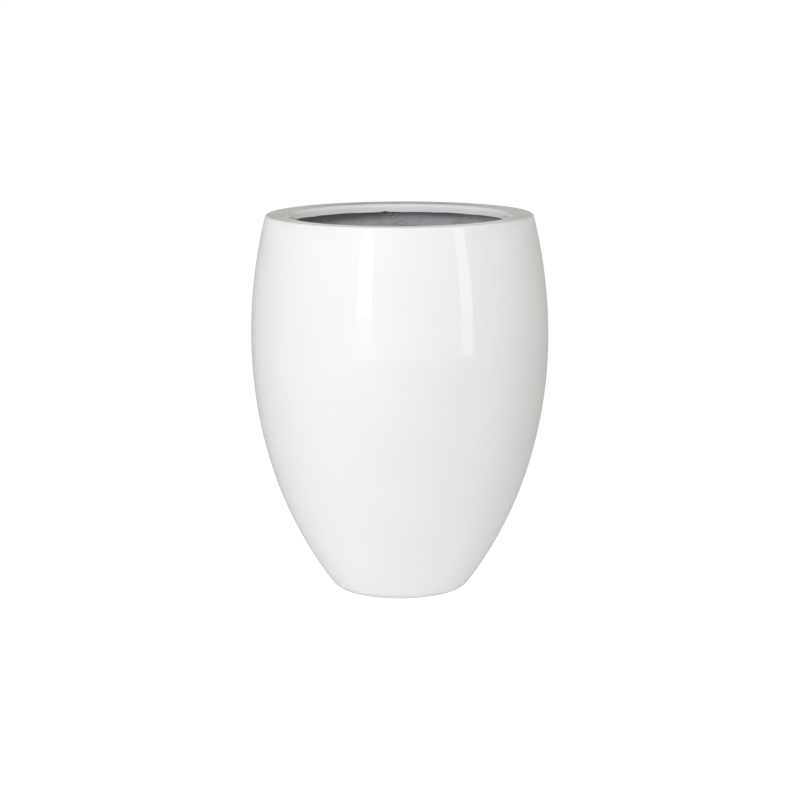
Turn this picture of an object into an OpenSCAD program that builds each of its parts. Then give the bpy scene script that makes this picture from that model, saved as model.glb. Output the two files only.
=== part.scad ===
// Tall bellied floor planter: a lacquered outer shell closed by a turned-in rim, a grey laminate
// lining, a drain plug and foot pads. The origin is on the floor, under the middle of the foot.

/* [Body] */
// Height from the floor to the top of the rim
height = 650; // [600:1:720]
// Outer diameter at the belly, the widest place
belly_d = 509; // [480:1:540]
// Height of the belly above the floor
belly_z = 440; // [400:1:480]
// Outer diameter at the rim
rim_d = 456; // [420:1:470]
// Radius of the flank's arc, from the belly down to the tuck
flank_r = 763; // [650:1:900]
// Height where the flank's arc passes into the tuck's
tuck_z = 235; // [180:1:290]

/* [Foot] */
// Diameter of the circle that the foot stands on
foot_d = 182; // [170:1:215]
// Rounding between the tuck and the foot
foot_round = 35; // [25:1:45]
// Diameter of the foot ring's inner edge
ring_d = 124; // [110:1:135]
// Height of the raised base above the foot ring
base_rise = 6; // [4:0.5:12]
// Slope of the step up to the raised base, in degrees
step_slope = 45; // [30:1:60]

/* [Walls] */
// Thickness of the white outer shell
shell_wall = 4; // [3:0.5:6]
// Thickness of the grey laminate behind it
laminate_wall = 3; // [2:0.5:5]

/* [Rim] */
// Diameter of the mouth inside the lip
mouth_d = 376; // [330:1:385]
// How far the rim's flat drops from its outer edge to the mouth
rim_dip = 1.3; // [0:0.1:2]
// Thickness of the rim at its outer edge
rim_wall = 6; // [5:0.5:8]
// Depth of the rim ring's outer band, down to its joint with the shell
band_depth = 16; // [12:1:30]
// Depth of the down-turned lip, from the top of the rim
lip_depth = 15.5; // [12:0.5:25]
// Thickness of the lip
lip_wall = 5.5; // [4.5:0.5:8]
// Rounding of the rim's outer edge
rim_round = 4; // [1:0.5:5]
// Rounding of the mouth's edge
mouth_round = 6; // [2:0.5:7]
// Rounding of the lip's lower edge
lip_round = 1; // [0.5:0.5:2]

/* [Drain plug] */
// Diameter of the drain hole
drain_d = 20; // [14:1:30]
// Radial clearance of the plug in the hole
plug_clearance = 0.1; // [0.05:0.05:0.3]
// Gap between the plug's head and the lining that it sits on
seat_gap = 0.2; // [0.1:0.1:0.5]
// How far the plug's head reaches past the edge of the hole
head_overlap = 8; // [5:0.5:12]
// Thickness of the plug's head
head_h = 4; // [3:0.5:6]
// Rounding of the head's upper edge
head_round = 2; // [1:0.5:2.5]
// How far the shank comes out below the raised base
shank_reach = 2.5; // [1:0.5:3]
// Depth of the grooves between the shank's sealing ribs
groove_depth = 1; // [0.5:0.25:2]
// Height of each sealing rib
rib_h = 2; // [1:0.25:2.5]
// Width of the pull tab
tab_w = 18; // [12:1:24]
// Height of the pull tab above the head
tab_h = 20; // [14:1:30]
// Thickness of the pull tab
tab_t = 5; // [3:0.5:7]

/* [Foot pads] */
// Number of pads under the foot ring
pad_count = 6; // [3:1:8]
// Diameter of a pad
pad_d = 20; // [14:1:22]
// Thickness of a pad, which is the shell's height above the floor
pad_h = 2; // [1:0.5:5]
// Diameter of the circle that the pads' centres lie on
pad_circle_d = 154; // [150:1:160]
// Chamfer round a pad's lower edge
pad_chamfer = 0.5; // [0.2:0.1:0.8]

/* [Hidden] */

shell_white = [0.95, 0.955, 0.965];
laminate_grey = [0.79, 0.8, 0.81];
rubber_black = [0.07, 0.07, 0.075];

// Straight steps along each arc of the outline, each about 15 mm or a few degrees long
shoulder_steps = 14;
flank_steps = 14;
tuck_steps = 18;
foot_steps = 8;
band_steps = 2;
edge_steps = 6;
$fn = 96;

// Radii and heights that follow from the sizes above
belly_r = belly_d / 2;
mouth_r = mouth_d / 2;
foot_r = foot_d / 2;
ring_r = ring_d / 2;
drain_r = drain_d / 2;
joint_z = height - band_depth;
rim_under_z = height - rim_wall;
base_z = pad_h + base_rise;
floor_z = base_z + shell_wall + laminate_wall;

// The shoulder's arc starts upright at the belly and ends at the rim's outer diameter
draw_in = belly_r - rim_d / 2;
shoulder_h = height - belly_z;
shoulder_r = (pow(draw_in, 2) + pow(shoulder_h, 2)) / (2 * draw_in);
shoulder_c = [belly_r - shoulder_r, belly_z];

// The flank's arc starts upright at the belly and ends at the tuck's height
flank_c = [belly_r - flank_r, belly_z];
tuck_from = -asin((belly_z - tuck_z) / flank_r);

// The tuck's arc leaves the flank in line with it and runs into the foot's rounding
foot_c = [foot_r, pad_h + foot_round];
foot_to_flank = on_arc(flank_c, flank_r, tuck_from) - foot_c;
tuck_in = -[cos(tuck_from), sin(tuck_from)];
tuck_r = (foot_to_flank * foot_to_flank - pow(foot_round, 2))
    / (2 * (-(foot_to_flank * tuck_in) - foot_round));
tuck_c = foot_c + foot_to_flank + tuck_r * tuck_in;
foot_from = atan2(foot_c.y - tuck_c.y, foot_c.x - tuck_c.x);

// Points hold a radius and a height, in the plane that is turned round the planter's axis
function on_arc(centre, r, angle) = centre + r * [cos(angle), sin(angle)];

// Points along an arc, from its first or its second one on
function arc(centre, r, from, to, steps, first = 0) =
    [for (i = [first:steps]) on_arc(centre, r, from + (to - from) * i / steps)];

function backwards(points) = [for (i = [len(points) - 1:-1:0]) points[i]];

// The direction from the shoulder's centre to a height on a surface that lies deeper than the outside
function shoulder_angle(z, depth) = asin((z - belly_z) / (shoulder_r - depth));

function on_shoulder(z, depth) = on_arc(shoulder_c, shoulder_r - depth, shoulder_angle(z, depth));

// A surface of the wall at a depth inside the outline: down from the ring's joint, round the foot
// and in over the foot ring, the step and the raised base to the drain hole
function body_line(depth) = concat(
    arc(shoulder_c, shoulder_r - depth, shoulder_angle(joint_z, depth), 0, shoulder_steps),
    arc(flank_c, flank_r - depth, 0, tuck_from, flank_steps, 1),
    arc(tuck_c, tuck_r - depth, tuck_from, foot_from, tuck_steps, 1),
    arc(foot_c, foot_round - depth, foot_from, -90, foot_steps, 1),
    base_line(depth)
);

function base_line(depth) =
    let (step_x = ring_r + depth * tan(step_slope / 2))
    [
        [step_x, pad_h + depth],
        [step_x - base_rise / tan(step_slope), base_z + depth],
        [drain_r, base_z + depth],
    ];

module outer_shell() {
    color(shell_white)
        rotate_extrude()
            polygon(concat(body_line(0), backwards(body_line(shell_wall))));
}

// The lining is bonded to the inside of the shell and, above the joint, to the inside of the rim's band
module inner_laminate() {
    inside = shell_wall + laminate_wall;
    color(laminate_grey)
        rotate_extrude()
            polygon(concat(
                [on_shoulder(rim_under_z, shell_wall)],
                body_line(shell_wall),
                backwards(body_line(inside)),
                [on_shoulder(rim_under_z, inside)]
            ));
}

// The rim ring: up its outer band, over the rounded edge, in across the flat, which drops a little,
// down and round the lip, and back under the flat to the band's inner face
module rim_ring() {
    edge_z = height - rim_round;
    edge_c = on_shoulder(edge_z, rim_round);
    edge_from = shoulder_angle(edge_z, rim_round);
    mouth_c = [mouth_r + mouth_round, height - rim_dip - mouth_round];
    lip_z = height - lip_depth + lip_round;
    color(shell_white)
        rotate_extrude()
            polygon(concat(
                arc(shoulder_c, shoulder_r, shoulder_angle(joint_z, 0), edge_from, band_steps),
                arc(edge_c, rim_round, edge_from, 90, edge_steps, 1),
                arc(mouth_c, mouth_round, 90, 180, edge_steps),
                arc([mouth_r + lip_round, lip_z], lip_round, 180, 270, edge_steps),
                arc([mouth_r + lip_wall - lip_round, lip_z], lip_round, 270, 360, edge_steps),
                [[mouth_r + lip_wall, rim_under_z]],
                [on_shoulder(rim_under_z, shell_wall), on_shoulder(joint_z, shell_wall)]
            ));
}

// A sealing rib's edge, listed downward: a square upper corner and a tapered lead below it
function rib(top, core_r, rib_r) = [
    [core_r, top],
    [rib_r, top],
    [rib_r, top - rib_h / 2],
    [core_r, top - rib_h],
];

// A rubber bung: a head on the lining's floor and a shank with one rib in each layer of the base
module bung() {
    rib_r = drain_r - plug_clearance;
    core_r = rib_r - groove_depth;
    head_r = drain_r + head_overlap;
    head_z = floor_z + seat_gap;
    shank_z = base_z - shank_reach;
    rotate_extrude()
        polygon(concat(
            [[0, head_z + head_h]],
            arc([head_r - head_round, head_z + head_h - head_round], head_round, 90, 0, edge_steps),
            [[head_r, head_z], [core_r, head_z]],
            rib(floor_z - (laminate_wall - rib_h) / 2, core_r, rib_r),
            rib(base_z + (shell_wall + rib_h) / 2, core_r, rib_r),
            [[core_r, shank_z], [0, shank_z]]
        ));
}

module pull_tab() {
    straight_h = tab_h - tab_w / 2;
    translate([0, tab_t / 2, floor_z + seat_gap + head_h]) rotate([90, 0, 0])
        linear_extrude(tab_t) {
            translate([-tab_w / 2, -head_h / 2]) square([tab_w, straight_h + head_h / 2]);
            translate([0, straight_h]) circle(tab_w / 2);
        }
}

module drain_plug() {
    color(rubber_black) {
        bung();
        pull_tab();
    }
}

module foot_pads() {
    color(rubber_black)
        for (i = [0:pad_count - 1])
            rotate([0, 0, i * 360 / pad_count]) translate([pad_circle_d / 2, 0, 0])
                rotate_extrude() polygon([
                    [0, 0],
                    [pad_d / 2 - pad_chamfer, 0],
                    [pad_d / 2, pad_chamfer],
                    [pad_d / 2, pad_h],
                    [0, pad_h],
                ]);
}

outer_shell();
rim_ring();
inner_laminate();
drain_plug();
foot_pads();
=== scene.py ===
"""The looks of a tall white lacquered floor planter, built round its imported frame.

Every skin is a closed ring of outline points turned round the planter's axis, on the same arcs
as the solids. Lengths are in metres, and angles in degrees where nothing says radians.
"""

import bisect
import math
import random

import bmesh
import bpy
from mathutils import Matrix, Vector, noise


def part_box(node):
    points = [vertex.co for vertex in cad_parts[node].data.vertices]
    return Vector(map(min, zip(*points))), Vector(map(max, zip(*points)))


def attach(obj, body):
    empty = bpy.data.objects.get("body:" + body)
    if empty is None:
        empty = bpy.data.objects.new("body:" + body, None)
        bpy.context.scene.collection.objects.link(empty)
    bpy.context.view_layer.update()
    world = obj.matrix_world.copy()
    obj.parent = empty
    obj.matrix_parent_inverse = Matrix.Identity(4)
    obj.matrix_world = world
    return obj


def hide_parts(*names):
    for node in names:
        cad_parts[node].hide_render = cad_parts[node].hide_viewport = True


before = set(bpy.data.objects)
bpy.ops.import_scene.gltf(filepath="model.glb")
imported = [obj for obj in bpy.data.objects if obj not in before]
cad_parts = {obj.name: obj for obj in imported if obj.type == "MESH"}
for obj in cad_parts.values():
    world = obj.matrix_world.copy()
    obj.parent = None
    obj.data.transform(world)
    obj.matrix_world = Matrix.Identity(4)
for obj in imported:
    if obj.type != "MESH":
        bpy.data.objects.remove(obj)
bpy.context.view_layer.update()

# Sizes read from the frame
shell_low, shell_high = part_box("outer_shell")
BELLY_R = shell_high.x
JOINT_Z = shell_high.z
PAD_H = shell_low.z
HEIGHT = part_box("rim_ring")[1].z

# Sizes of the outline, the walls and the rim, as in the solids
BELLY_Z = 0.440
RIM_R = 0.228
FLANK_R = 0.763
TUCK_Z = 0.235
FOOT_R = 0.091
FOOT_ROUND = 0.035
RING_R = 0.062
BASE_RISE = 0.006
STEP_SLOPE = 45
DRAIN_R = 0.010
SHELL_WALL = 0.004
LAMINATE_WALL = 0.003
MOUTH_R = 0.188
RIM_DIP = 0.0013
RIM_WALL = 0.006
LIP_DEPTH = 0.0155
LIP_WALL = 0.0055
RIM_ROUND = 0.004
MOUTH_ROUND = 0.006
LIP_ROUND = 0.001

# Sizes of the plug and the pads, as in the solids
PLUG_CLEARANCE = 0.0001
SEAT_GAP = 0.0002
HEAD_OVERLAP = 0.008
HEAD_H = 0.004
HEAD_ROUND = 0.002
SHANK_REACH = 0.0025
GROOVE_DEPTH = 0.001
RIB_H = 0.002
TAB_W = 0.018
TAB_H = 0.020
TAB_T = 0.005
PAD_COUNT = 6
PAD_R = 0.010
PAD_CIRCLE_R = 0.077
PAD_CHAMFER = 0.0005

# Heights that follow from them
BASE_Z = PAD_H + BASE_RISE
FLOOR_Z = BASE_Z + SHELL_WALL + LAMINATE_WALL
RIM_UNDER_Z = HEIGHT - RIM_WALL
TAB_FOOT_Z = FLOOR_Z + SEAT_GAP + HEAD_H / 2
TAB_STRAIGHT_H = TAB_H + HEAD_H / 2 - TAB_W / 2

# How far hand-finished surfaces stray from their outline. A wave of the skin also has a length
# and the place in the noise that it starts from. Next to a level face, nothing strays
SKIN_INSET = 0.0001
SKIN_WAVE = 0.0003
SKIN_WAVE_LENGTH = 0.11
SKIN_WAVE_START = Vector((3.1, 7.7, 1.3))
FINE_WAVE = 0.00003
FINE_WAVE_LENGTH = 0.035
FINE_WAVE_START = Vector((5.9, 2.3, 8.1))
LIP_STRAY = 0.0009
LAMINATE_STRAY = 0.0007
FLAT_MARGIN = 0.001

# Layers of the noise on the lip's lower edge and on the lining: waves to the metre, and share
LIP_LAYERS = [(28, 1), (90, 0.5)]
LAMINATE_LAYERS = [(35, 1), (120, 0.6)]

# The nick in the lip's lower edge, at the back
LIP_NICK = 0.0016
LIP_NICK_X = -0.026
LIP_NICK_W = 0.004

# Glass strands that show through the lining's coat: how many, their size, how far off the lining
# they lie, how far they bend, in radians, and how far from the wall's top and floor they keep
STRAND_SEED = 7
STRAND_COUNT = 900
STRAND_LENGTH = (0.012, 0.035)
STRAND_WIDTH = (0.0004, 0.0008)
STRAND_LIFT = 0.0001
STRAND_BEND = 0.9
STRAND_TOP_GAP = 0.002
STRAND_FLOOR_GAP = 0.02

# Pale strands that hang loose below the mouth and loop away from the wall. They lean from
# straight down and bend, in radians. The first ones start a little below the wall's top. Each
# group has a count, a left and a right end that its strands scatter between, and how much lower
# its right end is
LOOSE_LENGTH = (0.006, 0.014)
LOOSE_WIDTH = (0.0012, 0.002)
LOOSE_LOOP = (0.004, 0.012)
LOOSE_LEAN = 1.2
LOOSE_BEND = 1.5
LOOSE_SCATTER = 0.003
LOOSE_TOP = 0.001
LOOSE_GROUPS = [(22, -0.012, 0.014, 0.026), (6, 0.096, 0.106, 0.016)]

# The pull tab's softened edges, the angle between the points of its round end, and its grip
# ridges
TAB_EDGE = 0.0012
TAB_EDGE_STEPS = 4
TAB_ARC_STEP = 10
RIDGE_COUNT = 3
RIDGE_STEP = 0.0035
RIDGE_HALF_LENGTH = 0.006
RIDGE_R = 0.0008

# Steps round the axis, steps and sides of rods, and the longest steps along an outline: on its
# long arcs, its foot, its lip, its rounded edges, and the band next to the rim ring's joint,
# with the band's height below the joint
TURNS = 360
PLUG_TURNS = 96
PAD_TURNS = 64
STRAND_STEPS = 9
STRAND_SIDES = 6
RIDGE_STEPS = 16
RIDGE_SIDES = 12
LINE_STEP = 0.004
FOOT_STEP = 0.002
LIP_STEP = 0.002
EDGE_STEP = 0.0004
BAND_STEP = 0.001
BAND_H = 0.006

# Points closer than this are one, edges sharper than this angle stay sharp, and the outlines of
# the plug and the pads stop this far from the axis
SAME_POINT = 1e-7
SHARP_ANGLE = 35
PLUG_HUB_R = 0.0004
PAD_HUB_R = 0.0003

# Tones of the materials, each with the value of its noise that it belongs to
LACQUER_TONES = [(0.3, (0.876, 0.872, 0.886)), (0.7, (0.896, 0.892, 0.906))]
BARE_TONES = [(0.3, (0.60, 0.59, 0.56)), (0.7, (0.72, 0.71, 0.68))]
COAT_TONES = [(0.3, (0.62, 0.635, 0.655)), (0.7, (0.76, 0.775, 0.795))]
# Painted shade: dark lining tones that stand in for the lip's shadow on the lining's top
UNDER_LIP_SHADE_TONES = [(0.3, (0.26, 0.265, 0.27)), (0.7, (0.32, 0.325, 0.33))]
COATED_STRAND_TONES = [(0.35, (0.60, 0.615, 0.63)), (0.65, (0.80, 0.81, 0.82))]
BARE_STRAND_TONES = [(0.35, (0.84, 0.845, 0.85)), (0.65, (0.92, 0.92, 0.92))]
RUBBER_TONES = [(0.3, (0.018, 0.018, 0.018)), (0.7, (0.032, 0.032, 0.032))]

# The ragged edge of the lacquer inside the foot ring
BARE_R = RING_R - 0.0045
BARE_RAGGED = 0.0015

# Heights between which painted shade darkens the lining under the lip, standing in for the lip's
# shadow. To the left of the axis they sink by the lean times the distance from it, so the painted
# shade reaches lower there
SHADE_START_Z = 0.617
SHADE_FULL_Z = 0.634
SHADE_LEAN = 0.09

# The camera that the photograph's outline gives, with its lens and sensor in millimetres
CAMERA_DISTANCE = 4.8076
CAMERA_HEIGHT = 1.125
CAMERA_PITCH = 9.401
CAMERA_ROLL = -0.2
CAMERA_LENS = 127.54
CAMERA_SENSOR = 36

# The height that the lamps aim at, their distances, and the light that comes from all round
LAMP_AIM_Z = 0.45
SOFTBOX_DISTANCE = 3.0
STRIP_DISTANCE = 2.0
WORLD_LIGHT = (0.446, 0.441, 0.437)

# The floor: its depth below the pads, half its width, its shade and glow to matt surfaces, where
# the glow fades with distance from the axis, and its shade and glow to the camera and to gloss
FLOOR_DROP = 0.0002
FLOOR_HALF_W = 12
FLOOR_SHADE = 0.25
FLOOR_GLOW_NEAR = 0.56
FLOOR_GLOW_FAR = 0.11
FLOOR_NEAR_R = 0.3
FLOOR_FAR_R = 0.9
FLOOR_SHADE_SEEN = 0.35
FLOOR_GLOW_SEEN = 0.855

# The tent: its radius, its foot, the sill that its front opening starts from, its top, and the
# azimuths that the opening lies between
TENT_R = 0.42
TENT_FLOOR_Z = 0.0004
TENT_SILL = 0.41
TENT_TOP = 2.2
TENT_OPEN_FROM = -28.5
TENT_OPEN_TO = 41
TENT_STEPS = 180

# The tent's tones by height. Above the rim they are dimmer in the middle, for the back of the
# rim's flat, and brighter at the sides. Towards the camera the whole tent is brighter
TENT_TONES = [
    (0.0, (0.520, 0.515, 0.490)),
    (0.2, (0.480, 0.475, 0.455)),
    (0.62, (0.480, 0.475, 0.455)),
    (0.654, (0.640, 0.635, 0.620)),
    (0.673, (0.640, 0.635, 0.620)),
    (0.681, (0.240, 0.235, 0.200)),
    (1.0, (0.240, 0.235, 0.200)),
]
TENT_MIDDLE_X = 0.06
TENT_SIDE_X = 0.20
TENT_MIDDLE_GAIN = 0.36
TENT_SIDE_GAIN = 1.5
TENT_GAIN_FROM_Z = 0.673
TENT_GAIN_TO_Z = 0.681
TENT_FRONT_FROM_Y = -0.25
TENT_FRONT_TO_Y = -0.40
TENT_FRONT_GAIN = 1.6


def direction(angle):
    """The unit vector at an angle in the outline's plane."""
    return Vector((math.cos(math.radians(angle)), math.sin(math.radians(angle))))


def angle_of(v):
    return math.degrees(math.atan2(v.y, v.x))


# The arcs of the outline, in a plane of radius against height
draw_in = BELLY_R - RIM_R
SHOULDER_R = (draw_in**2 + (HEIGHT - BELLY_Z) ** 2) / (2 * draw_in)
SHOULDER_C = Vector((BELLY_R - SHOULDER_R, BELLY_Z))
FLANK_C = Vector((BELLY_R - FLANK_R, BELLY_Z))
TUCK_FROM = -math.degrees(math.asin((BELLY_Z - TUCK_Z) / FLANK_R))
FOOT_C = Vector((FOOT_R, PAD_H + FOOT_ROUND))
foot_to_flank = FLANK_C + FLANK_R * direction(TUCK_FROM) - FOOT_C
tuck_in = -direction(TUCK_FROM)
TUCK_R = (foot_to_flank.dot(foot_to_flank) - FOOT_ROUND**2) / (
    2 * (-foot_to_flank.dot(tuck_in) - FOOT_ROUND)
)
TUCK_C = FOOT_C + foot_to_flank + TUCK_R * tuck_in
FOOT_FROM = angle_of(FOOT_C - TUCK_C)


def arc(centre, r, start, end, step=LINE_STEP):
    """Points along an arc, both ends included."""
    steps = max(3, math.ceil(abs(math.radians(end - start)) * r / step))
    return [centre + r * direction(start + (end - start) * i / steps) for i in range(steps + 1)]


def straight(a, b, step=LINE_STEP):
    """Points along a straight line, both ends included."""
    a, b = Vector(a), Vector(b)
    steps = max(1, math.ceil((b - a).length / step))
    return [a.lerp(b, i / steps) for i in range(steps + 1)]


def joined(stretches):
    """One list of points, without the doubled ones where stretches meet."""
    points = []
    for stretch in stretches:
        for p in stretch:
            if not points or (points[-1] - p).length > SAME_POINT:
                points.append(p)
    return points


def shoulder_angle(z, depth):
    """The direction from the shoulder's centre to a height, at a depth inside the outline."""
    return math.degrees(math.asin((z - BELLY_Z) / (SHOULDER_R - depth)))


def shoulder_point(z, depth):
    return SHOULDER_C + (SHOULDER_R - depth) * direction(shoulder_angle(z, depth))


def body_line(depth, top_z=JOINT_Z):
    """A surface of the wall, from a height on the shoulder down to the drain hole's edge."""
    top = shoulder_angle(top_z, depth)
    below_band = shoulder_angle(top_z - BAND_H, depth)
    step_x = RING_R + depth * math.tan(math.radians(STEP_SLOPE / 2))
    rise_x = step_x - BASE_RISE / math.tan(math.radians(STEP_SLOPE))
    low, high = PAD_H + depth, BASE_Z + depth
    return joined([
        arc(SHOULDER_C, SHOULDER_R - depth, top, below_band, BAND_STEP),
        arc(SHOULDER_C, SHOULDER_R - depth, below_band, 0),
        arc(FLANK_C, FLANK_R - depth, 0, TUCK_FROM),
        arc(TUCK_C, TUCK_R - depth, TUCK_FROM, FOOT_FROM),
        arc(FOOT_C, FOOT_ROUND - depth, FOOT_FROM, -90, FOOT_STEP),
        straight((FOOT_R, low), (step_x, low)),
        straight((step_x, low), (rise_x, high)),
        straight((rise_x, high), (DRAIN_R, high)),
    ])


def outward(v):
    """The level direction from the axis to a point."""
    flat = Vector((v.x, v.y, 0))
    return flat.normalized() if flat.length else flat


def skin_wave(v):
    """How far the lacquered skin lies inside its outline: long low waves, always inward."""
    wave = noise.noise(v / SKIN_WAVE_LENGTH + SKIN_WAVE_START)
    fine = noise.noise(v / FINE_WAVE_LENGTH + FINE_WAVE_START)
    return SKIN_INSET + SKIN_WAVE * (0.5 + 0.5 * wave) + FINE_WAVE * (0.5 + 0.5 * fine)


def layered_noise(v, layers):
    """Noise summed over layers, each with its waves to the metre and its share."""
    return sum(share * noise.noise(v * waves) for waves, share in layers)


def laminate_wave(v):
    """How far the lining's rough face stands in from its outline."""
    return LAMINATE_STRAY * (0.5 + 0.5 * layered_noise(v, LAMINATE_LAYERS))


def new_mesh(name, verts, faces):
    mesh = bpy.data.meshes.new(name)
    mesh.from_pydata(verts, [], faces)
    return mesh


def new_object(name, mesh, material):
    made = bpy.data.objects.new(name, mesh)
    bpy.context.scene.collection.objects.link(made)
    mesh.materials.append(material)
    return made


def new_piece(name, mesh, body, material, node=None):
    """A piece of the planter, which rides on a body. It may stand for a node of the solids."""
    piece = new_object(name, mesh, material)
    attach(piece, body)
    if node:
        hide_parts(node)
    return piece


def lathe(name, ring, stray=None, turns=TURNS):
    """A mesh of a closed ring of points turned round the axis.

    stray takes a point and its place in the ring, and gives where the point moves to.
    """
    verts, faces = [], []
    for i in range(turns):
        turn = 2 * math.pi * i / turns
        c, s = math.cos(turn), math.sin(turn)
        for k, p in enumerate(ring):
            v = Vector((p.x * c, p.x * s, p.y))
            verts.append(stray(v, k) if stray else v)
    n = len(ring)
    for i in range(turns):
        a, b = i * n, (i + 1) % turns * n
        for k in range(n):
            m = (k + 1) % n
            faces.append((a + k, a + m, b + m, b + k))
    mesh = new_mesh(name, verts, faces)
    bm = bmesh.new()
    bm.from_mesh(mesh)
    bmesh.ops.recalc_face_normals(bm, faces=bm.faces)
    for face in bm.faces:
        face.smooth = True
    for edge in bm.edges:
        edge.smooth = edge.calc_face_angle(0) < math.radians(SHARP_ANGLE)
    bm.to_mesh(mesh)
    bm.free()
    return mesh


def add_rod(verts, faces, path, ups, half_w, half_h, sides):
    """Add a closed rod along a path, oval in section and rounded off at both ends."""
    first, last = len(verts), len(path) - 1
    verts.append(path[0])
    for i in range(1, last):
        along = (path[i + 1] - path[i - 1]).normalized()
        across = along.cross(ups[i]).normalized()
        up = across.cross(along)
        swell = math.sqrt(1 - (2 * i / last - 1) ** 2)
        for k in range(sides):
            turn = 2 * math.pi * k / sides
            side = half_w * math.cos(turn) * across + half_h * math.sin(turn) * up
            verts.append(path[i] + swell * side)
    verts.append(path[-1])
    end = len(verts) - 1
    for k in range(sides):
        m = (k + 1) % sides
        faces.append((first, first + 1 + m, first + 1 + k))
        faces.append((end, end - sides + k, end - sides + m))
        for i in range(last - 2):
            a = first + 1 + i * sides
            faces.append((a + k, a + m, a + sides + m, a + sides + k))


def make_shell(material):
    """The shell's skin, wavy on the outside down to the foot."""
    outside = body_line(0)
    ring = outside + list(reversed(body_line(SHELL_WALL)))

    def stray(v, k):
        if k < len(outside) and v.z > PAD_H + FLAT_MARGIN:
            return v - outward(v) * skin_wave(v)
        return v

    mesh = lathe("shell_skin", ring, stray)
    new_piece("shell_skin", mesh, "planter", material, "outer_shell")


def make_rim(material):
    """The rim ring's skin. Its outer band is wavy, and the lip's lower edge is uneven."""
    edge_z = HEIGHT - RIM_ROUND
    edge_c = shoulder_point(edge_z, RIM_ROUND)
    edge_from = shoulder_angle(edge_z, RIM_ROUND)
    mouth_c = Vector((MOUTH_R + MOUTH_ROUND, HEIGHT - RIM_DIP - MOUTH_ROUND))
    lip_back = MOUTH_R + LIP_WALL
    lip_z = HEIGHT - LIP_DEPTH + LIP_ROUND
    lip_drop = mouth_c.y - (HEIGHT - LIP_DEPTH)
    band = arc(SHOULDER_C, SHOULDER_R, shoulder_angle(JOINT_Z, 0), edge_from, BAND_STEP)
    ring = joined([
        band,
        arc(edge_c, RIM_ROUND, edge_from, 90, EDGE_STEP),
        straight((edge_c.x, HEIGHT), (mouth_c.x, HEIGHT - RIM_DIP)),
        arc(mouth_c, MOUTH_ROUND, 90, 180, EDGE_STEP),
        straight((MOUTH_R, mouth_c.y), (MOUTH_R, lip_z), LIP_STEP),
        arc(Vector((MOUTH_R + LIP_ROUND, lip_z)), LIP_ROUND, 180, 270, EDGE_STEP),
        arc(Vector((lip_back - LIP_ROUND, lip_z)), LIP_ROUND, 270, 360, EDGE_STEP),
        straight((lip_back, lip_z), (lip_back, RIM_UNDER_Z), LIP_STEP),
        straight((lip_back, RIM_UNDER_Z), shoulder_point(RIM_UNDER_Z, SHELL_WALL)),
        [shoulder_point(JOINT_Z, SHELL_WALL)],
    ])

    def stray(v, k):
        if k < len(band):
            return v - outward(v) * skin_wave(v)
        low = max(0, (mouth_c.y - v.z) / lip_drop)
        if low and math.hypot(v.x, v.y) < MOUTH_R + 2 * LIP_WALL:
            wave = layered_noise(v, LIP_LAYERS)
            nick = math.exp(-(((v.x - LIP_NICK_X) / LIP_NICK_W) ** 2)) if v.y > 0 else 0
            return v + Vector((0, 0, low * (LIP_STRAY * wave + LIP_NICK * nick)))
        return v

    mesh = lathe("rim", ring, stray)
    new_piece("rim", mesh, "planter", material, "rim_ring")


def make_lining(material):
    """The lining, smooth where it is bonded to the shell and on its floor, and rough inside."""
    inside = SHELL_WALL + LAMINATE_WALL
    back = [shoulder_point(RIM_UNDER_Z, SHELL_WALL)] + body_line(SHELL_WALL)
    front = list(reversed(body_line(inside))) + [shoulder_point(RIM_UNDER_Z, inside)]

    def stray(v, k):
        if k < len(back) or v.z < FLOOR_Z + FLAT_MARGIN or v.z > JOINT_Z:
            return v
        return v - outward(v) * laminate_wave(v)

    mesh = lathe("lining", back + front, stray)
    new_piece("lining", mesh, "planter", material, "inner_laminate")


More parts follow.
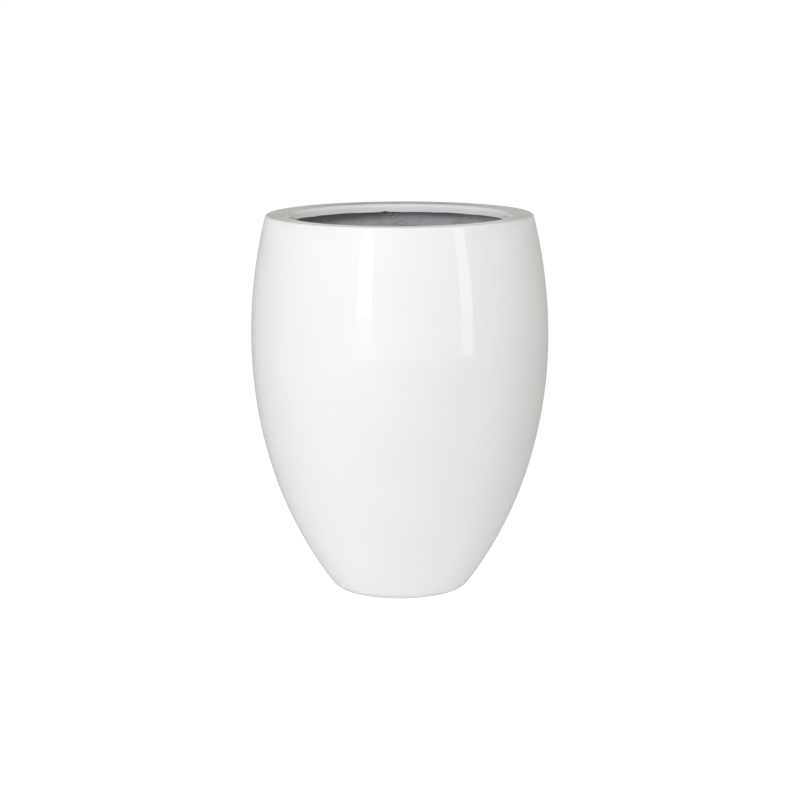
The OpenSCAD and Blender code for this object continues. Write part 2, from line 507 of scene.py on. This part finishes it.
def make_strands(coated, bare):
    """Glass strands of the lining's chopped mat, lying every way in its face from rim to floor.

    Turns round the axis, leans and bends are in radians in here.
    """
    wall = body_line(SHELL_WALL + LAMINATE_WALL, JOINT_Z - STRAND_TOP_GAP)
    line = [p for p in wall if p.y > FLOOR_Z + STRAND_FLOOR_GAP]
    down = [0]
    for a, b in zip(line, line[1:]):
        down.append(down[-1] + (b - a).length)
    choose = random.Random(STRAND_SEED)

    def in_wall(s, turn, lift):
        """The point off the lining's face, and the way out of it, at a length down the wall."""
        i = min(max(bisect.bisect_right(down, s) - 1, 0), len(line) - 2)
        p = line[i].lerp(line[i + 1], (s - down[i]) / (down[i + 1] - down[i]))
        fall = (line[i + 1] - line[i]).normalized()
        around = Vector((math.cos(turn), math.sin(turn), 0))
        v = around * p.x + Vector((0, 0, p.y))
        up = around * fall.y - Vector((0, 0, fall.x))
        return v - around * (laminate_wave(v) + lift), up

    def add_strand(rods, s, turn, lean, bend, length, width, loop=0):
        path, ups = [], []
        for i in range(STRAND_STEPS + 1):
            arch = math.sin(math.pi * i / STRAND_STEPS)
            v, up = in_wall(s, turn, STRAND_LIFT + loop * arch)
            path.append(v)
            ups.append(up)
            s += math.cos(lean) * length / STRAND_STEPS
            turn += math.sin(lean) * length / STRAND_STEPS / math.hypot(v.x, v.y)
            lean += bend / STRAND_STEPS
        if 0 < s < down[-1]:
            add_rod(*rods, path, ups, width / 2, width / 4, STRAND_SIDES)

    mat = ([], [])
    for _ in range(STRAND_COUNT):
        add_strand(mat, choose.uniform(0, down[-1]), choose.uniform(0, 2 * math.pi),
                   choose.uniform(0, 2 * math.pi), choose.uniform(-STRAND_BEND, STRAND_BEND),
                   choose.uniform(*STRAND_LENGTH), choose.uniform(*STRAND_WIDTH))

    loose = ([], [])
    for count, left, right, fall in LOOSE_GROUPS:
        for _ in range(count):
            t = choose.random()
            x = left + t * (right - left) + choose.uniform(-LOOSE_SCATTER, LOOSE_SCATTER)
            add_strand(loose, LOOSE_TOP + t * fall, math.pi / 2 - math.asin(x / line[0].x),
                       choose.uniform(-LOOSE_LEAN, LOOSE_LEAN),
                       choose.uniform(-LOOSE_BEND, LOOSE_BEND),
                       choose.uniform(*LOOSE_LENGTH), choose.uniform(*LOOSE_WIDTH),
                       choose.uniform(*LOOSE_LOOP))

    for name, rods, material in (("glass_strands", mat, coated), ("loose_strands", loose, bare)):
        mesh = new_mesh(name, *rods)
        mesh.shade_smooth()
        new_piece(name, mesh, "planter", material)


def make_plug(material):
    """The plug's head and ribbed shank."""
    rib_r = DRAIN_R - PLUG_CLEARANCE
    core_r = rib_r - GROOVE_DEPTH
    head_r = DRAIN_R + HEAD_OVERLAP
    head_z = FLOOR_Z + SEAT_GAP
    top = head_z + HEAD_H
    foot = BASE_Z - SHANK_REACH

    def rib(z):
        return [
            Vector((core_r, z)),
            Vector((rib_r, z)),
            Vector((rib_r, z - RIB_H / 2)),
            Vector((core_r, z - RIB_H)),
        ]

    ring = joined([
        arc(Vector((head_r - HEAD_ROUND, top - HEAD_ROUND)), HEAD_ROUND, 90, 0, EDGE_STEP),
        [Vector((head_r, head_z)), Vector((core_r, head_z))],
        rib(FLOOR_Z - (LAMINATE_WALL - RIB_H) / 2),
        rib(BASE_Z + (SHELL_WALL + RIB_H) / 2),
        [Vector((core_r, foot)), Vector((PLUG_HUB_R, foot)), Vector((PLUG_HUB_R, top))],
    ])
    mesh = lathe("plug", ring, turns=PLUG_TURNS)
    new_piece("plug", mesh, "plug", material, "drain_plug")


def make_tab(material):
    """The plug's pull tab: a rounded plate with softened edges."""
    outline = [Vector((TAB_W / 2, 0)), Vector((TAB_W / 2, TAB_STRAIGHT_H))]
    outline += [Vector((0, TAB_STRAIGHT_H)) + TAB_W / 2 * direction(a)
                for a in range(TAB_ARC_STEP, 180, TAB_ARC_STEP)]
    outline += [Vector((-TAB_W / 2, TAB_STRAIGHT_H)), Vector((-TAB_W / 2, 0))]
    bm = bmesh.new()
    front = [bm.verts.new((p.x, -TAB_T / 2, TAB_FOOT_Z + p.y)) for p in outline]
    made = bmesh.ops.extrude_face_region(bm, geom=[bm.faces.new(front)])
    moved = [v for v in made["geom"] if isinstance(v, bmesh.types.BMVert)]
    bmesh.ops.translate(bm, verts=moved, vec=(0, TAB_T, 0))
    bmesh.ops.recalc_face_normals(bm, faces=bm.faces)
    mesh = bpy.data.meshes.new("plug_tab")
    bm.to_mesh(mesh)
    bm.free()
    tab = new_piece("plug_tab", mesh, "plug", material)
    bevel = tab.modifiers.new("soft_edges", "BEVEL")
    bevel.width = TAB_EDGE
    bevel.segments = TAB_EDGE_STEPS


def make_ridges(material):
    """Grip ridges on both faces of the pull tab."""
    rods = ([], [])
    for side in (-1, 1):
        for i in range(RIDGE_COUNT):
            z = TAB_FOOT_Z + TAB_STRAIGHT_H + (i - (RIDGE_COUNT - 1) / 2) * RIDGE_STEP
            path = [Vector((RIDGE_HALF_LENGTH * (2 * k / RIDGE_STEPS - 1), side * TAB_T / 2, z))
                    for k in range(RIDGE_STEPS + 1)]
            ups = [Vector((0, side, 0))] * (RIDGE_STEPS + 1)
            add_rod(*rods, path, ups, RIDGE_R, RIDGE_R, RIDGE_SIDES)
    mesh = new_mesh("tab_ridges", *rods)
    mesh.shade_smooth()
    new_piece("tab_ridges", mesh, "plug", material)


def make_pads(material):
    """The foot pads, in a circle under the foot ring."""
    ring = [
        Vector((PAD_HUB_R, 0)),
        Vector((PAD_R - PAD_CHAMFER, 0)),
        Vector((PAD_R, PAD_CHAMFER)),
        Vector((PAD_R, PAD_H)),
        Vector((PAD_HUB_R, PAD_H)),
    ]
    for i in range(PAD_COUNT):
        name = f"foot_pad_{i + 1}"
        turn = 2 * math.pi * i / PAD_COUNT
        centre = Vector((PAD_CIRCLE_R * math.cos(turn), PAD_CIRCLE_R * math.sin(turn), 0))
        mesh = lathe(name, ring, turns=PAD_TURNS)
        mesh.transform(Matrix.Translation(centre))
        new_piece(name, mesh, "planter", material, "foot_pads")


class Tree:
    """A short way to build a node tree."""

    def __init__(self, tree):
        self.tree = tree

    def link(self, out, into):
        self.tree.links.new(out, into)

    def add(self, kind, *values, **settings):
        """A new node. values go to its first inputs: outputs to link, or constants."""
        node = self.tree.nodes.new(kind)
        for key, value in settings.items():
            setattr(node, key, value)
        for value, into in zip(values, node.inputs):
            if isinstance(value, bpy.types.NodeSocket):
                self.link(value, into)
            else:
                into.default_value = value
        return node

    def calc(self, operation, *values):
        return self.add("ShaderNodeMath", *values, operation=operation).outputs[0]

    def spread(self, value, low, high, start=0, end=1, smooth=False):
        """Turn a value that runs from start to end into one that runs from low to high."""
        shape = "SMOOTHSTEP" if smooth else "LINEAR"
        node = self.add("ShaderNodeMapRange", value, start, end, low, high,
                        interpolation_type=shape)
        return node.outputs["Result"]

    def ramp(self, fac, stops):
        """Colours by a value. stops holds two or more pairs of a value and its colour."""
        node = self.add("ShaderNodeValToRGB", fac)
        ends = node.color_ramp.elements
        for i, (at, colour) in enumerate(stops):
            end = ends[i] if i < 2 else ends.new(at)
            end.position = at
            end.color = (*colour, 1)
        return node.outputs["Color"]

    def distance(self, place):
        """A point's distance from the origin."""
        return self.add("ShaderNodeVectorMath", place, operation="LENGTH").outputs["Value"]

    def background_rays(self):
        """1 for camera, glossy and transmission rays, which all see the white background."""
        rays = self.add("ShaderNodeLightPath").outputs
        seen = self.calc("MAXIMUM", rays["Is Camera Ray"], rays["Is Glossy Ray"])
        return self.calc("MAXIMUM", seen, rays["Is Transmission Ray"])

    def mix_shaders(self, fac, a, b):
        """The shader a where fac is 0, and b where it is 1."""
        return self.add("ShaderNodeMixShader", fac, a, b).outputs[0]


class MaterialTree(Tree):
    """A material's node tree. place is a point's place on the object."""

    def __init__(self, name):
        self.material = bpy.data.materials.new(name)
        self.material.use_nodes = True
        super().__init__(self.material.node_tree)
        self.shader = self.tree.nodes["Principled BSDF"]
        self.place = self.add("ShaderNodeTexCoord").outputs["Object"]

    def split(self):
        """The place's x, y and z."""
        return self.add("ShaderNodeSeparateXYZ", self.place).outputs

    def dress(self, colour, roughness, normal):
        """Link the shader's main inputs, and give the finished material."""
        self.link(colour, self.shader.inputs["Base Color"])
        self.link(roughness, self.shader.inputs["Roughness"])
        self.link(normal, self.shader.inputs["Normal"])
        return self.material

    def use_shader(self, shader):
        """Put another shader in the standard one's place, and give the finished material."""
        self.tree.nodes.remove(self.shader)
        self.link(shader, self.tree.nodes["Material Output"].inputs["Surface"])
        return self.material

    def noise(self, scale, detail=2, rough=0.5):
        node = self.add("ShaderNodeTexNoise", self.place)
        node.inputs["Scale"].default_value = scale
        node.inputs["Detail"].default_value = detail
        node.inputs["Roughness"].default_value = rough
        return node.outputs["Fac"]

    def mix(self, fac, a, b):
        """a where fac is 0, and b where it is 1. Both are colours, or both are numbers."""
        kind = "RGBA" if a.type == "RGBA" else "FLOAT"
        node = self.add("ShaderNodeMix", fac, data_type=kind)
        first, second = [s for s in node.inputs if s.name in ("A", "B") and s.type == a.type]
        self.link(a, first)
        self.link(b, second)
        return next(s for s in node.outputs if s.type == a.type)

    def above(self, low, high, lean):
        """0 up to a height, 1 from a greater height on, and a soft change between them.

        Both heights sink to the left of the axis, by lean times the distance from it.
        """
        x, _, z = self.split()
        raised = self.calc("MULTIPLY_ADD", self.calc("MINIMUM", x, 0), -lean, z)
        return self.spread(raised, 0, 1, low, high, smooth=True)

    def inside_ring(self, r, ragged, high):
        """1 near the axis and below a height, and 0 elsewhere, with a ragged border."""
        x, y, z = self.split()
        flat = self.add("ShaderNodeCombineXYZ", x, y).outputs[0]
        border = self.spread(self.noise(70, 3), r - ragged, r + ragged)
        near = self.calc("LESS_THAN", self.distance(flat), border)
        return self.calc("MULTIPLY", near, self.calc("LESS_THAN", z, high))

    def bump(self, height, distance, strength, under=None):
        """A bumped normal, on top of another one where under is given."""
        node = self.add("ShaderNodeBump")
        node.inputs["Distance"].default_value = distance
        node.inputs["Strength"].default_value = strength
        self.link(height, node.inputs["Height"])
        if under:
            self.link(under, node.inputs["Normal"])
        return node.outputs["Normal"]


def white_lacquer():
    """Gloss white lacquer: a faint orange peel, and polish that varies a little.

    Its overspray ends in a ragged line inside the foot ring, where the base is bare and matt.
    """
    n = MaterialTree("white_lacquer")
    gloss = n.ramp(n.noise(9, 3), LACQUER_TONES)
    bare = n.ramp(n.noise(45, 5, 0.65), BARE_TONES)
    shows = n.inside_ring(BARE_R, BARE_RAGGED, BASE_Z + SHELL_WALL / 2)
    polish = n.spread(n.noise(14, 3), 0.012, 0.04)
    matt = n.spread(n.noise(60, 4), 0.5, 0.75)
    peel = n.bump(n.noise(420, 1), 0.00001, 0.6)
    grain = n.calc("MULTIPLY", n.noise(240, 4, 0.7), shows)
    n.shader.inputs["IOR"].default_value = 1.5
    return n.dress(n.mix(shows, gloss, bare), n.mix(shows, polish, matt),
                   n.bump(grain, 0.0006, 0.8, peel))


def grey_laminate():
    """The lining: a sprayed grey coat over chopped glass-fibre mat, with painted shade under the
    lip.
    """
    n = MaterialTree("grey_laminate")
    coat = n.ramp(n.noise(60, 4, 0.6), COAT_TONES)
    # Painted shade: a dark tone under the lip stands in for the lip's shadow, reaching lower on the
    # left
    painted_shade = n.ramp(n.noise(60, 4, 0.6), UNDER_LIP_SHADE_TONES)
    under_lip_shade = n.above(SHADE_START_Z, SHADE_FULL_Z, SHADE_LEAN)
    return n.dress(n.mix(under_lip_shade, coat, painted_shade), n.spread(n.noise(90, 3), 0.35, 0.6),
                   n.bump(n.noise(260, 4, 0.7), 0.0008, 0.8))


def glass_strand(name, tones):
    """Strands of the mat that the coat leaves half bare, paler and glossier than the lining."""
    n = MaterialTree(name)
    return n.dress(n.ramp(n.noise(30, 3), tones), n.spread(n.noise(150), 0.25, 0.5),
                   n.bump(n.noise(900), 0.0001, 0.5))


def black_rubber():
    """Matt black rubber, finely grained."""
    n = MaterialTree("black_rubber")
    return n.dress(n.ramp(n.noise(150, 3), RUBBER_TONES), n.spread(n.noise(200), 0.5, 0.7),
                   n.bump(n.noise(900), 0.0001, 0.5))


def make_camera():
    data = bpy.data.cameras.new("camera")
    data.lens = CAMERA_LENS
    data.sensor_width = CAMERA_SENSOR
    camera = bpy.data.objects.new("camera", data)
    place = Matrix.Translation((0, -CAMERA_DISTANCE, CAMERA_HEIGHT))
    tilt = Matrix.Rotation(math.radians(90 - CAMERA_PITCH), 4, "X")
    camera.matrix_world = place @ tilt @ Matrix.Rotation(math.radians(CAMERA_ROLL), 4, "Z")
    bpy.context.scene.collection.objects.link(camera)
    bpy.context.scene.camera = camera


def area_lamp(name, azimuth, elevation, distance, size, radiance, shape="RECTANGLE"):
    """An area lamp that faces the planter. Azimuth 0 is the camera's side and 90 the right.

    At elevation 0 the lamp is level with what it aims at. size holds its width and height.
    """
    data = bpy.data.lights.new(name, "AREA")
    data.shape = shape
    data.size, data.size_y = size
    share = math.pi / 4 if shape == "ELLIPSE" else 1
    data.energy = radiance * math.pi * data.size * data.size_y * share
    lamp = bpy.data.objects.new(name, data)
    a, e = math.radians(azimuth), math.radians(elevation)
    away = Vector((math.sin(a) * math.cos(e), -math.cos(a) * math.cos(e), math.sin(e)))
    lamp.location = away * distance + Vector((0, 0, LAMP_AIM_Z))
    lamp.rotation_mode = "QUATERNION"
    lamp.rotation_quaternion = (-away).to_track_quat("-Z", "Y")
    lamp.visible_camera = False
    bpy.context.scene.collection.objects.link(lamp)
    return lamp


def softbox(name, azimuth, elevation, width, radiance, colour=(1, 1, 1)):
    """A square lamp that lights matt surfaces and isn't mirrored in gloss."""
    lamp = area_lamp(name, azimuth, elevation, SOFTBOX_DISTANCE, (width, width), radiance)
    lamp.data.color = colour
    lamp.visible_glossy = False


def strip(name, azimuth, width, low, high, radiance, shape="RECTANGLE", lights_matt=False):
    """An upright lamp between two heights, for a highlight in gloss.

    With lights_matt it lights matt surfaces too.
    """
    lamp = area_lamp(name, azimuth, 0, STRIP_DISTANCE, (width, high - low), radiance, shape)
    lamp.location.z = (low + high) / 2
    lamp.visible_diffuse = lights_matt


def make_world():
    """White where the background is seen, and an even light to matt surfaces."""
    world = bpy.data.worlds.new("studio")
    world.use_nodes = True
    n = Tree(world.node_tree)
    light = n.tree.nodes["Background"]
    light.inputs["Color"].default_value = (*WORLD_LIGHT, 1)
    white = n.add("ShaderNodeBackground", (1, 1, 1, 1), 1)
    shown = n.mix_shaders(n.background_rays(), light.outputs[0], white.outputs[0])
    n.link(shown, n.tree.nodes["World Output"].inputs["Surface"])
    bpy.context.scene.world = world


def make_floor():
    """A pale, faintly lit table. It shows white, and a soft shadow where the planter stands.

    It is clear from below, so that the planter's underside can be looked at.
    """
    n = MaterialTree("floor_white")
    seen = n.background_rays()
    fading = n.spread(n.distance(n.place), FLOOR_GLOW_NEAR, FLOOR_GLOW_FAR,
                      FLOOR_NEAR_R, FLOOR_FAR_R, smooth=True)
    matt = n.add("ShaderNodeBsdfDiffuse", n.spread(seen, FLOOR_SHADE, FLOOR_SHADE_SEEN))
    glow = n.add("ShaderNodeEmission")
    n.link(n.spread(seen, fading, FLOOR_GLOW_SEEN), glow.inputs["Strength"])
    both = n.add("ShaderNodeAddShader", matt.outputs[0], glow.outputs[0])
    below = n.add("ShaderNodeNewGeometry").outputs["Backfacing"]
    clear = n.add("ShaderNodeBsdfTransparent")
    material = n.use_shader(n.mix_shaders(below, both.outputs[0], clear.outputs[0]))

    signs = [(-1, -1), (1, -1), (1, 1), (-1, 1)]
    corners = [(x * FLOOR_HALF_W, y * FLOOR_HALF_W, -FLOOR_DROP) for x, y in signs]
    floor = new_object("floor", new_mesh("floor", corners, [(0, 1, 2, 3)]), material)


def make_tent():
    """A grey light tent close round the planter, which only its gloss sees.

    It keeps the planter's outline dark against the white, and its front opening lets in the
    strips of light that the lacquer mirrors.
    """
    verts, faces = [], []

    def wall(start, end, low, high):
        first = len(verts)
        for i in range(TENT_STEPS + 1):
            azimuth = math.radians(start + (end - start) * i / TENT_STEPS)
            x, y = TENT_R * math.sin(azimuth), -TENT_R * math.cos(azimuth)
            verts.extend([(x, y, low), (x, y, high)])
        for i in range(TENT_STEPS):
            k = first + 2 * i
            faces.append((k, k + 1, k + 3, k + 2))

    wall(0, 360, TENT_FLOOR_Z, TENT_SILL)
    faces.append(range(0, 2 * TENT_STEPS, 2))
    wall(TENT_OPEN_TO, 360 + TENT_OPEN_FROM, TENT_SILL, TENT_TOP)

    n = MaterialTree("tent_cloth")
    x, y, z = n.split()
    sideways = n.spread(n.calc("ABSOLUTE", x), TENT_MIDDLE_GAIN, TENT_SIDE_GAIN,
                        TENT_MIDDLE_X, TENT_SIDE_X, smooth=True)
    gain = n.spread(z, 1, sideways, TENT_GAIN_FROM_Z, TENT_GAIN_TO_Z)
    front = n.spread(y, 1, TENT_FRONT_GAIN, TENT_FRONT_FROM_Y, TENT_FRONT_TO_Y)
    glow = n.add("ShaderNodeEmission", n.ramp(z, TENT_TONES), n.calc("MULTIPLY", gain, front))

    tent = new_object("tent", new_mesh("tent", verts, faces), n.use_shader(glow.outputs[0]))
    tent.visible_camera = False
    tent.visible_diffuse = False
    tent.visible_shadow = False


bpy.context.scene.view_settings.view_transform = "Standard"
make_camera()
make_world()
make_floor()
make_tent()
# Azimuth, width, lower and upper end, radiance
strip("strip_left", -25.5, 0.36, 0.54, 1.16, 2.9)
strip("strip_left_end", -25.5, 0.36, 0.98, 1.34, 2.9, shape="ELLIPSE")
strip("strip_left_foot", -25.5, 0.40, 0.16, 0.54, 0.5, lights_matt=True)
strip("strip_right", 50.5, 0.40, 0.54, 1.9, 1.45)
strip("strip_right_foot", 50.5, 0.40, 0.13, 0.54, 1.0)
# Azimuth, elevation, width, radiance, colour
softbox("key", -8, 14, 2.2, 3.05, (0.99, 0.99, 1))
softbox("side_left", -74, 14, 1.8, 2.45, (0.98, 0.98, 1))
softbox("side_right", 70, 22, 1.8, 1.7, (1, 0.97, 0.86))
softbox("back", -160, 30, 1.8, 1.2)

lacquer = white_lacquer()
laminate = grey_laminate()
rubber = black_rubber()
make_shell(lacquer)
make_rim(lacquer)
make_lining(laminate)
make_strands(glass_strand("coated_strand", COATED_STRAND_TONES),
             glass_strand("bare_strand", BARE_STRAND_TONES))
make_plug(rubber)
make_tab(rubber)
make_ridges(rubber)
make_pads(rubber)
